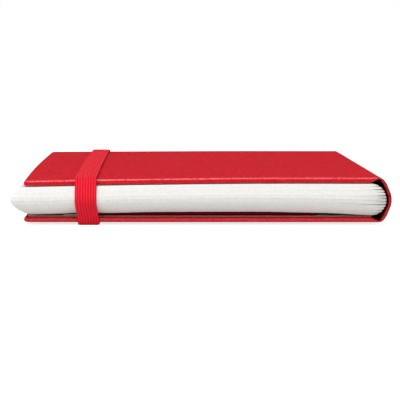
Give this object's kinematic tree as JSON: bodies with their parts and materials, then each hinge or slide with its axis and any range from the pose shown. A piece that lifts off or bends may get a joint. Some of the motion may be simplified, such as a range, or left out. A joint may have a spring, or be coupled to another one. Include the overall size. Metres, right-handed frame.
{
  "type": "hardcover notebook",
  "caption": "Case-bound notebook with convex page edges, a bowed spine, an inner pocket and a flat elastic closure band; it opens flat at its centre fold.",
  "frame": {"origin": "under the middle of the closed notebook's bounding box, on the surface that it lies on", "axes": "+X towards the spine, +Y towards the head, +Z towards the front cover"},
  "size_m": [0.1344, 0.221, 0.0178],
  "materials": {
    "leatherette": "satin grained red leatherette",
    "board": "matt grey binder's board",
    "endpaper": "matt cream paper",
    "page_paper": "matt white paper",
    "gauze": "matt open-weave cotton",
    "thread": "matt linen thread",
    "pocket_card": "matt cream card",
    "pocket_cloth": "matt dark red bookcloth",
    "elastic": "matt ribbed red woven elastic"
  },
  "bodies": {
    "back_cover": {"back_skin": "leatherette", "back_board": "board", "back_pastedown": "endpaper", "pocket_panel": "pocket_card", "pocket_gusset_tail": "pocket_cloth", "pocket_gusset_head": "pocket_cloth", "back_flyleaf": "endpaper", "signature_11": "page_paper", "signature_10": "page_paper", "signature_09": "page_paper", "signature_08": "page_paper", "signature_07": "page_paper", "signature_06_lower": "page_paper", "spine_gauze_back": "gauze", "sewing_thread": "thread", "elastic_anchor_tail": "elastic", "elastic_anchor_head": "elastic"},
    "front_pages": {"front_flyleaf": "endpaper", "signature_01": "page_paper", "signature_02": "page_paper", "signature_03": "page_paper", "signature_04": "page_paper", "signature_05": "page_paper", "signature_06_upper": "page_paper", "spine_gauze_front": "gauze"},
    "spine": {"spine_skin": "leatherette", "spine_liner": "board"},
    "front_cover": {"front_skin": "leatherette", "front_board": "board", "front_pastedown": "endpaper"},
    "elastic": {"elastic_band": "elastic"}
  },
  "joints": [
    {"name": "centre_fold", "type": "hinge", "parent": "back_cover", "child": "front_pages", "pos_m": [0.0656, 0, 0.00889], "axis": [0, 1, 0], "range_deg": [0, 180], "deforming": ["elastic_band"]},
    {"name": "back_fold", "type": "hinge", "parent": "back_cover", "child": "spine", "pos_m": [0.06425, 0, 0.001], "axis": [0, 1, 0], "range_deg": [0, 90]},
    {"name": "front_fold", "type": "hinge", "parent": "spine", "child": "front_cover", "pos_m": [0.06425, 0, 0.01682], "axis": [0, 1, 0], "range_deg": [0, 90]},
    {"name": "band_flip", "type": "hinge", "parent": "back_cover", "child": "elastic", "pos_m": [-0.04075, 0, 0.001], "axis": [0, -1, 0], "range_deg": [0, 180]}
  ],
  "couplings": [
    {"joint": "back_fold", "follows": "centre_fold", "ratio": 0.5},
    {"joint": "front_fold", "follows": "centre_fold", "ratio": 0.5},
    {"joint": "band_flip", "follows": "centre_fold", "ratio": 1}
  ]
}
